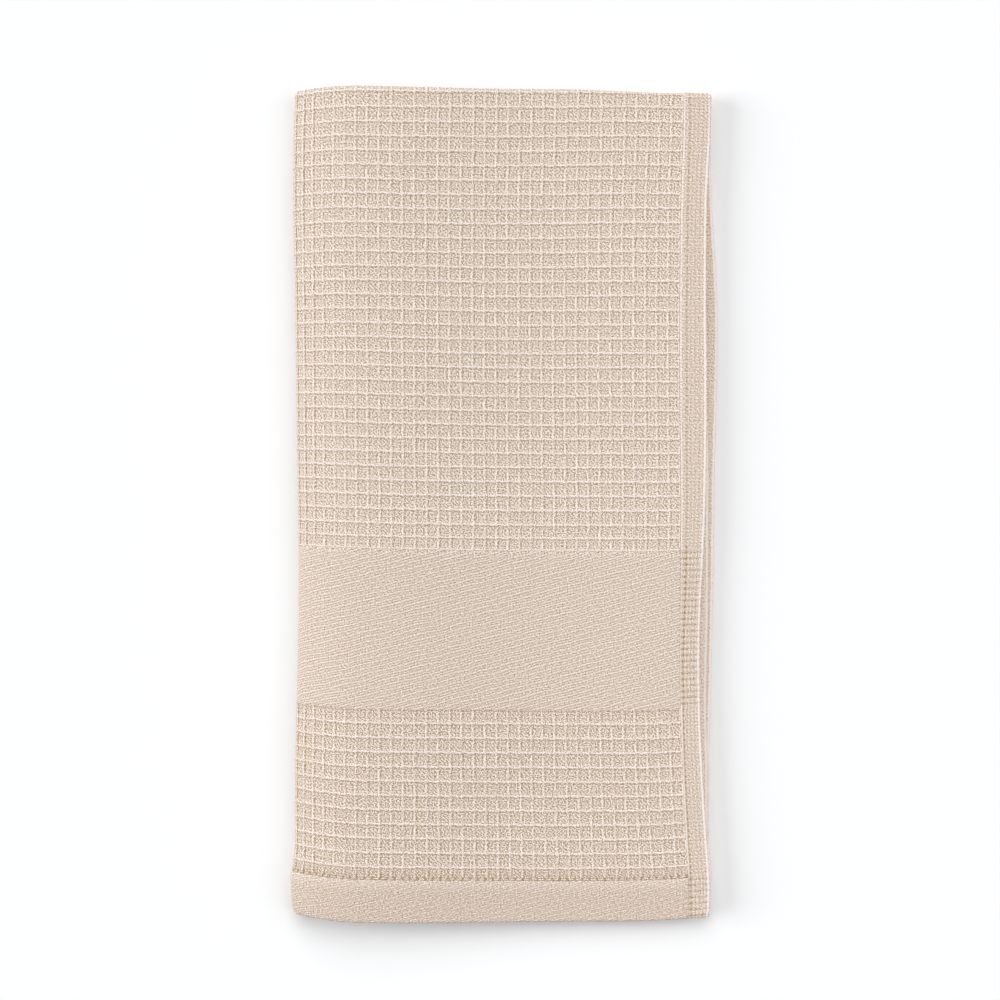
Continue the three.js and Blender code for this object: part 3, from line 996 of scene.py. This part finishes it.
def waffle_finish(shader, colours):
    """The waffle: a painted highlight on its ribs, painted shade in a gutter below each crosswise rib
    and in pits on each side of each lengthwise rib, and plain weave on the floor of each cell.

    Ribs, gutter and pits are bells of the distance to them. The plain weave is the sum of three
    sines, down the cell, across it and slanting, with three spots to a cell's width. Where the roll
    turns down, the light and shade of its turn are painted: the pits on the right of a rib grow
    darker, the crosswise ribs dimmer and the lengthwise ones lighter. The cloth below the band is a
    little darker and the last row above the end hem darker still, both painted shade. Holes of the
    end hem's stitches lie along the lowest line, at the peaks of a sine along it.
    """
    column, row = shader.cloth_place()
    right, below = 0.05 - column, -row
    from_rib = (right - right.whole()) * CELL_ACROSS
    aside = abs(from_rib)
    down = (below - below.whole()) * CELL_ALONG
    in_cell = (below - below.floor()) * CELL_ALONG
    across, along = column * CELL_ACROSS, row * CELL_ALONG
    patchy = shader.noise(column * 1.6, row * 1.3 + 9)
    cross_rib = (down + 0.4).bell(0.9)
    long_rib = aside.bell(0.78) * (1 - 0.45 * (in_cell - 1.0).bell(0.8))
    open_floor = (1 - cross_rib) * (1 - long_rib)
    gutter = (down - 0.9).bell(0.7)
    # Where the roll turns down, the light and shade of its turn are painted: darker pits, dimmer
    # crosswise ribs, lighter lengthwise ribs
    rolled = ((column - ROLLED_FROM) / ROLLED_OVER).clamped()

    spots_down = (in_cell + 1.5) / SPOT_SPACING
    spots_across = right * SPOTS_ACROSS
    bars = spots_down.wave(1.0)
    stripes = (spots_across + 0.11).wave(1.0)
    slanting = (spots_across - spots_down + 0.25).wave(1.0)
    yarns = 0.2 * bars + 0.5 * slanting + 0.25 * stripes
    # Painted shade in the pits beside the lengthwise ribs, darker still on the right of a rib where
    # the roll turns down
    pits = (aside - 1.45).bell(0.9) * (1 - gutter) * (0.6 - 0.3 * bars) * (0.8 + 0.5 * patchy)
    pits = pits * (1 + 4.5 * rolled * from_rib.clamped())
    grain = yarn_noise(shader, across, along)

    # Painted highlight on the lengthwise ribs, and in the next line on the crosswise ribs
    long_rib_highlight = (0.27 + 0.22 * patchy + 0.25 * rolled) * long_rib * (1 - cross_rib)
    tone = 0.625 + (0.39 - 0.25 * long_rib) * cross_rib * (1 - 0.5 * rolled) + long_rib_highlight
    # Painted shade in the gutter below each crosswise rib and in the pits
    tone = tone + open_floor * (0.38 * yarns * (1 - gutter) - 0.36 * pits) - 0.24 * gutter
    tone = tone + (0.46 + 0.24 * open_floor) * (1 - 0.25 * rolled) * grain
    from_hem = row - FIRST_ROW_BELOW
    stitched = 0.1 + 1.2 * (across.wave(STITCH_SPACING) - 0.2).clamped()
    holes = (from_hem - 0.12).bell(0.15) * stitched
    # Painted shade: a little darker below the band, and darker on the last row above the end hem,
    # which slopes away from the light; the holes are the end hem's stitches
    tone = tone - 0.05 * below.clamped() - 0.15 * from_hem.bell(1.0) - 1.2 * holes
    return shader.finish(tone, 0.5 + 0.2 * yarns * open_floor + 0.3 * grain, colours)


def satin_tone(shader, across, along, row_pitch):
    """The satin's strokes: a sine across their rows, with every second row a little lighter, and
    a weaker sine that breaks the rows into strokes. The rows drift by soft noise. across runs to
    the left."""
    drift = 0.35 * shader.noise(across / 14, along / 9)
    rows = along + across * SATIN_SLANT + drift
    strong = (rows + row_pitch / 4).wave(row_pitch)
    second = (rows + row_pitch / 2).wave(2 * row_pitch)
    broken = (across * 0.35 - along * 0.5 / row_pitch).wave(1.0)
    return 0.13 * strong + 0.045 * second + 0.02 * broken


def band_finish(shader, colours):
    """The smooth band: satin strokes and uneven yarns, which are more uneven near its upper line"""
    across, along = shader.cloth_place()
    strokes = satin_tone(shader, across, along, BAND_ROW_PITCH)
    grain = yarn_noise(shader, across / 1.3, along)
    fringe = (BAND_TO - along - 1.0).bell(3.5)
    tone = 0.605 + 1.6 * strokes + 0.27 * grain + fringe * (0.06 + 0.25 * grain)
    return shader.finish(tone, 0.5 + strokes + 0.3 * grain, colours)


def end_hem_finish(shader, colours):
    """The end hem: finer satin strokes, with a painted highlight on the lip below its top, and dark
    stitches at its top
    """
    across, from_edge = shader.cloth_place()
    strokes = satin_tone(shader, across, from_edge, HEM_ROW_PITCH)
    grain = yarn_noise(shader, across / 1.3, from_edge)
    from_top = END_HEM_DEPTH - from_edge
    stitches = from_top.bell(1.1) * (0.5 + 0.5 * (across + STITCH_SPACING / 4).wave(STITCH_SPACING))
    # Painted highlight on the lip below the hem's top
    tone = 0.54 + 1.1 * strokes + 0.28 * grain + 0.1 * (from_top - 3.0).bell(5.0) - 0.2 * stitches
    return shader.finish(tone, 0.5 + 0.5 * strokes + 0.3 * grain, colours)


def ribbed_from(distance):
    """0 outside a line and 1 inside it, rising evenly over a few millimetres"""
    return (distance / RIBS_EASED + 0.5).clamped()


def hem_yarns(place, from_hem):
    """A side hem's plain weave: a sine along the hem plus one that slants over it"""
    return from_hem.wave(2.17) + (from_hem * 0.452 - place * 0.367).wave(1.0)


def side_hem_finish(shader, colours):
    """A side hem: plain weave beside the waffle, and crosswise ribs beside the band and the end
    hem, with narrow dark valleys.

    It has a painted highlight on its edge, which is weaker near the end-to-end fold, a row of dark
    stitches which are darkest in line with the valleys, and a light lip along its inner side. Edge,
    stitches and lip are bells across the hem, and the valleys are where a sine along it is lowest.
    """
    place, from_hem = shader.cloth_place()
    in_band = ribbed_from(from_hem - BAND_FROM) * ribbed_from(BAND_TO - from_hem)
    in_hem = ribbed_from(END_HEM_DEPTH - from_hem)
    above_band = ((from_hem - BAND_TO) / RIBS_EASED).clamped()
    near_fold = ((from_hem - EDGE_WEAKER_FROM) / EDGE_WEAKER_OVER).clamped()
    ribbed = (in_band + in_hem).clamped()
    plain = 1 - ribbed
    from_lip = LIP_PLACE - place

    grain = yarn_noise(shader, place, from_hem)
    patchy = shader.noise(place / 3.0, from_hem / 2.6 + 17)
    wave = (from_hem + HEM_RIB_PITCH / 4).wave(HEM_RIB_PITCH)
    valleys = (-1.4 * wave - 0.42).clamped()
    fading = (from_lip * 0.4).clamped() * (0.7 + 0.5 * patchy)
    ribs = (0.05 * wave - 0.26 * valleys * fading) * ribbed
    lines = place.wave(2.2) * ribbed
    yarns = (hem_yarns(place, from_hem) + place.wave(2.4)) * plain

    # Painted highlight on the hem's rounded edge, weaker near the end-to-end fold
    edge = (1 - 0.6 * near_fold) * (place - 1.1).bell(1.0)
    stitches = (place - STITCH_PLACE).bell(1.05) * (0.2 + 0.8 * valleys)
    lip = mix((from_lip - 1.0).bell(1.2), (from_lip - 0.8).bell(0.75), above_band) * plain
    tone = 0.585 + 0.32 * grain + ribs + 0.1 * lines + 0.08 * yarns
    tone = tone + (0.6 - 0.2 * above_band) * lip + 0.75 * edge
    tone = tone - (1.2 - 0.85 * above_band - 0.4 * in_hem) * stitches
    return shader.finish(tone, 0.5 + 0.2 * grain + ribs, colours)


def under_hem_finish(shader, colours):
    """A side hem of the layers under the top one: plain weave with a painted highlight on its edge,
    all of it lightened as painted light because it lies in the upper layers' shade
    """
    place, from_hem = shader.cloth_place()
    grain = yarn_noise(shader, place, from_hem)
    # Painted highlight on the edge
    edge = (place - 0.9).bell(0.9)
    tone = 0.57 + 0.4 * grain + 0.1 * hem_yarns(place, from_hem) + 1.2 * edge
    # The lift lightens the whole hem as painted light, for the light that the upper layers shade off
    return shader.finish(tone, 0.5 + 0.2 * grain, colours, painted_lift=1.2)


def paper_finish(shader, colour):
    """The floor: plain matt paper"""
    paper = shader.node(
        "ShaderNodeBsdfPrincipled",
        inputs={"Base Color": (*colour, 1.0), "Roughness": 0.9, "Specular IOR Level": 0.1},
    )
    shader.node("ShaderNodeOutputMaterial", inputs={"Surface": paper.outputs[0]})
    return shader.material


def weave_lines(weave):
    """The waffle's lines across and along the cloth, from the weave's sizes"""
    columns = ColumnLines(weave.cell_width / MM, weave.roll_squeeze)
    rows = RowLines(
        weave.cell_height / MM,
        weave.cells_below_band,
        weave.first_cell_height / MM,
        weave.second_cell_height / MM,
    )
    return columns, rows


def finishes(context):
    """The cloth's materials by finish, each made once"""
    makers = {
        "waffle": waffle_finish,
        "band": band_finish,
        "end_hem": end_hem_finish,
        "side_hem": side_hem_finish,
        "under_hem": under_hem_finish,
    }
    found = {}
    for finish, maker in makers.items():
        name = f"towel_{finish}_cotton"
        made = bpy.data.materials.get(name)
        found[finish] = made or maker(Shader(name), context.scene.towel_colours)
    return found


class TowelWeave(bpy.types.PropertyGroup):
    """Sizes of the waffle weave"""

    cell_width: bpy.props.FloatProperty(
        name="Cell width",
        description="Spacing of the ribs that run along the towel",
        default=0.00693,
        min=0.004,
        unit="LENGTH",
    )
    cell_height: bpy.props.FloatProperty(
        name="Cell height",
        description="Spacing of the ribs that run across the towel",
        default=0.00868,
        min=0.004,
        unit="LENGTH",
    )
    first_cell_height: bpy.props.FloatProperty(
        name="First cell height",
        description="Height of the cells that touch the upper side of the band",
        default=0.00715,
        min=0.002,
        unit="LENGTH",
    )
    second_cell_height: bpy.props.FloatProperty(
        name="Second cell height",
        description="Height of the next cells above the band",
        default=0.0079,
        min=0.002,
        unit="LENGTH",
    )
    cells_below_band: bpy.props.IntProperty(
        name="Cells below the band",
        description="Rows of cells between the band and the end hem",
        default=12,
        min=2,
    )
    roll_squeeze: bpy.props.FloatProperty(
        name="Squeeze on the roll",
        description="Cell width on the rolled fold as a share of the usual one",
        default=0.95,
        min=0.5,
        max=1.0,
        subtype="FACTOR",
    )


class TowelColours(bpy.types.PropertyGroup):
    """Colours of the cotton, from the painted shade of its darkest pits to the painted highlight of
    its lightest ribs
    """

    # The ramp's dark end: painted shade in the pits and gutters, also used for the stitches' holes
    pit_colour: bpy.props.FloatVectorProperty(
        name="Pits",
        description="The cotton deep between yarns",
        default=(0.40, 0.28, 0.145),
        subtype="COLOR",
    )
    shade_colour: bpy.props.FloatVectorProperty(
        name="Shade",
        description="The cotton on the floor of a cell",
        default=(0.565, 0.44, 0.332),
        subtype="COLOR",
    )
    yarn_colour: bpy.props.FloatVectorProperty(
        name="Yarn",
        description="The cotton's middle colour",
        default=(0.70, 0.58, 0.495),
        subtype="COLOR",
    )
    # The ramp's light end: a painted highlight on the ribs and on the hems' lit edges
    light_colour: bpy.props.FloatVectorProperty(
        name="Light",
        description="The cotton on top of a rib",
        default=(0.975, 0.88, 0.825),
        subtype="COLOR",
    )


class TowelStage(bpy.types.PropertyGroup):
    """The stage's light, floor and camera"""

    floor_colour: bpy.props.FloatVectorProperty(
        name="Floor",
        description="Colour of the floor",
        default=(0.97, 0.98, 0.99),
        subtype="COLOR",
    )
    fill_strength: bpy.props.FloatProperty(
        name="Fill light",
        description="Strength of the light from all round",
        default=0.17,
        min=0.0,
    )
    overhead_strength: bpy.props.FloatProperty(
        name="Overhead light",
        description="Strength of the wide light from above the side hems",
        default=1.085,
        min=0.0,
    )
    key_strength: bpy.props.FloatProperty(
        name="Key light",
        description="Strength of the soft light from beyond the folded end",
        default=1.4,
        min=0.0,
    )
    side_strength: bpy.props.FloatProperty(
        name="Side light",
        description="Strength of the soft light from beyond the rolled fold",
        default=1.75,
        min=0.0,
    )
    camera_height: bpy.props.FloatProperty(
        name="Camera height",
        description="Height of the camera over the towel's flat top",
        default=1.3,
        min=0.4,
        unit="LENGTH",
    )
    framed_width: bpy.props.FloatProperty(
        name="Framed width",
        description="Width of the picture at the towel's flat top",
        default=0.601,
        min=0.1,
        unit="LENGTH",
    )


class TowelWaffleOperator(bpy.types.Operator):
    """Makes the top layer's waffle cloth, above and below its band"""

    bl_idname = "towel.waffle"
    bl_label = "Waffle cloth"

    def execute(self, context):
        columns, rows = weave_lines(context.scene.towel_weave)
        materials = finishes(context)
        span = (0, columns.roll_end, columns)
        above = waffle_slab(span, rows.above, rows.lines_above, False, FINE, 1)
        below = waffle_slab(span, rows.below, rows.lines_below, False, FINE, 51, FIRST_ROW_BELOW)
        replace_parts(make_piece("towel_waffle_above_band", [above], materials), CAD_NODE)
        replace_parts(make_piece("towel_waffle_below_band", [below], materials), CAD_NODE)
        return {"FINISHED"}


class TowelBandOperator(bpy.types.Operator):
    """Makes the top layer's smooth band"""

    bl_idname = "towel.band"
    bl_label = "Smooth band"

    def execute(self, context):
        columns, _ = weave_lines(context.scene.towel_weave)
        span = (0, columns.roll_end, columns)
        limits = (BAND_FROM, BAND_TO)
        band = plain_slab("band", span, limits, FINE_BAND_STEPS, False, FINE, band_relief)
        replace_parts(make_piece("towel_band", [band], finishes(context)), CAD_NODE)
        return {"FINISHED"}


class TowelHemsOperator(bpy.types.Operator):
    """Makes the top layer's end hem and side hem"""

    bl_idname = "towel.hems"
    bl_label = "Hems"

    def execute(self, context):
        columns, _ = weave_lines(context.scene.towel_weave)
        materials = finishes(context)
        span = (0, columns.roll_end, columns)
        limits = (0, END_HEM_DEPTH)
        end_hem = plain_slab("end_hem", span, limits, FINE_HEM_STEPS, False, FINE, end_hem_relief)
        side_hem = side_hem_slab((0, FOLD_START + FOLD_ARC), True, True, *SHOWN_HEM_STEPS)
        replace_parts(make_piece("towel_end_hem", [end_hem], materials), CAD_NODE)
        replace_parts(make_piece("towel_side_hem", [side_hem], materials), CAD_NODE)
        return {"FINISHED"}


class TowelUnderLayersOperator(bpy.types.Operator):
    """Makes the three layers under the top one, and says that it is all one sheet of cloth"""

    bl_idname = "towel.under_layers"
    bl_label = "Under layers"

    def execute(self, context):
        columns, rows = weave_lines(context.scene.towel_weave)
        upper = (0, columns.roll_end, columns)
        lower = (columns.roll_end, columns.hem, columns)
        layers = ((upper, True, HIDDEN, 100), (lower, True, HIDDEN, 200), (lower, False, PLAIN, 300))
        smooth_parts = (
            ("band", (BAND_FROM, BAND_TO), band_relief),
            ("end_hem", (0, END_HEM_DEPTH), end_hem_relief),
        )
        slabs = []
        for span, turned, within, seed in layers:
            above = np.minimum(rows.lines_above, FOLD_START) if turned else rows.lines_above
            below = (rows.below, rows.lines_below, turned, within, seed + 9, FIRST_ROW_BELOW)
            slabs.append(waffle_slab(span, rows.above, above, turned, within, seed))
            slabs.append(waffle_slab(span, *below))
            for finish, limits, relief in smooth_parts:
                slabs.append(plain_slab(finish, span, limits, PLAIN_STEPS, turned, within, relief))
        turned_hem = (FOLD_START + FOLD_ARC, CLOTH_LENGTH)
        slabs.append(side_hem_slab(turned_hem, True, False, *TURNED_HEM_STEPS))
        slabs.append(side_hem_slab((0, CLOTH_LENGTH), False, False, *LOWER_HEM_STEPS))
        piece = make_piece("towel_under_layers", slabs, finishes(context))
        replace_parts(piece, CAD_NODE)
        return {"FINISHED"}


class TowelStageOperator(bpy.types.Operator):
    """Makes the pale floor, the soft studio light and the camera"""

    bl_idname = "towel.stage"
    bl_label = "Studio stage"

    def execute(self, context):
        scene = context.scene
        stage = scene.towel_stage
        mesh = bpy.data.meshes.new("floor")
        sides = ((-1, -1), (1, -1), (1, 1), (-1, 1))
        corners = [(x * FLOOR_REACH, y * FLOOR_REACH, 0) for x, y in sides]
        mesh.from_pydata(corners, [], [(0, 1, 2, 3)])
        mesh.materials.append(paper_finish(Shader("floor_paper"), stage.floor_colour))
        floor = bpy.data.objects.new("floor", mesh)
        scene.collection.objects.link(floor)

        world = bpy.data.worlds.new("studio")
        world.use_nodes = True
        background = world.node_tree.nodes["Background"]
        background.inputs["Color"].default_value = (1, 1, 1, 1)
        background.inputs["Strength"].default_value = stage.fill_strength
        scene.world = world

        lights = (
            ("overhead", stage.overhead_strength, OVERHEAD_FROM, OVERHEAD_SPREAD),
            ("key", stage.key_strength, KEY_FROM, KEY_SPREAD),
            ("side", stage.side_strength, SIDE_FROM, SIDE_SPREAD),
        )
        for name, strength, source, spread in lights:
            light = bpy.data.lights.new(name, "SUN")
            light.energy = strength
            light.angle = spread
            lamp = bpy.data.objects.new(name, light)
            lamp.rotation_euler = Vector(source).to_track_quat("Z", "Y").to_euler()
            scene.collection.objects.link(lamp)

        lens = bpy.data.cameras.new("camera")
        lens.sensor_width = 36.0
        lens.lens = lens.sensor_width * stage.camera_height / stage.framed_width
        lens.clip_start, lens.clip_end = 0.05, 20.0
        camera = bpy.data.objects.new("camera", lens)
        camera.location = Vector(PICTURE_MIDDLE) * MM + Vector((0, 0, stage.camera_height))
        scene.collection.objects.link(camera)
        scene.camera = camera
        scene.view_settings.view_transform = "Standard"
        return {"FINISHED"}


class TowelPanel(bpy.types.Panel):
    """Lists the towel's pieces and sizes in the 3D view's sidebar"""

    bl_idname = "VIEW3D_PT_towel"
    bl_label = "Hand towel"
    bl_space_type = "VIEW_3D"
    bl_region_type = "UI"
    bl_category = "Hand towel"

    def draw(self, context):
        for group in SETTINGS:
            settings = getattr(context.scene, group)
            box = self.layout.box()
            for name in settings.__annotations__:
                box.prop(settings, name)
        for operator in OPERATORS:
            self.layout.operator(operator.bl_idname)


SETTINGS = {"towel_weave": TowelWeave, "towel_colours": TowelColours, "towel_stage": TowelStage}
OPERATORS = (
    TowelWaffleOperator,
    TowelBandOperator,
    TowelHemsOperator,
    TowelUnderLayersOperator,
    TowelStageOperator,
)


def register():
    """Registers the settings, the operators and the panel"""
    for name, group in SETTINGS.items():
        bpy.utils.register_class(group)
        setattr(bpy.types.Scene, name, bpy.props.PointerProperty(type=group))
    for operator in OPERATORS:
        bpy.utils.register_class(operator)
    bpy.utils.register_class(TowelPanel)


def unregister():
    """Takes back what register() did"""
    bpy.utils.unregister_class(TowelPanel)
    for operator in reversed(OPERATORS):
        bpy.utils.unregister_class(operator)
    for name, group in reversed(SETTINGS.items()):
        delattr(bpy.types.Scene, name)
        bpy.utils.unregister_class(group)


def main():
    """Makes every piece and the stage"""
    register()
    bpy.ops.towel.waffle()
    bpy.ops.towel.band()
    bpy.ops.towel.hems()
    bpy.ops.towel.under_layers()
    bpy.ops.towel.stage()


if __name__ == "__main__":
    main()
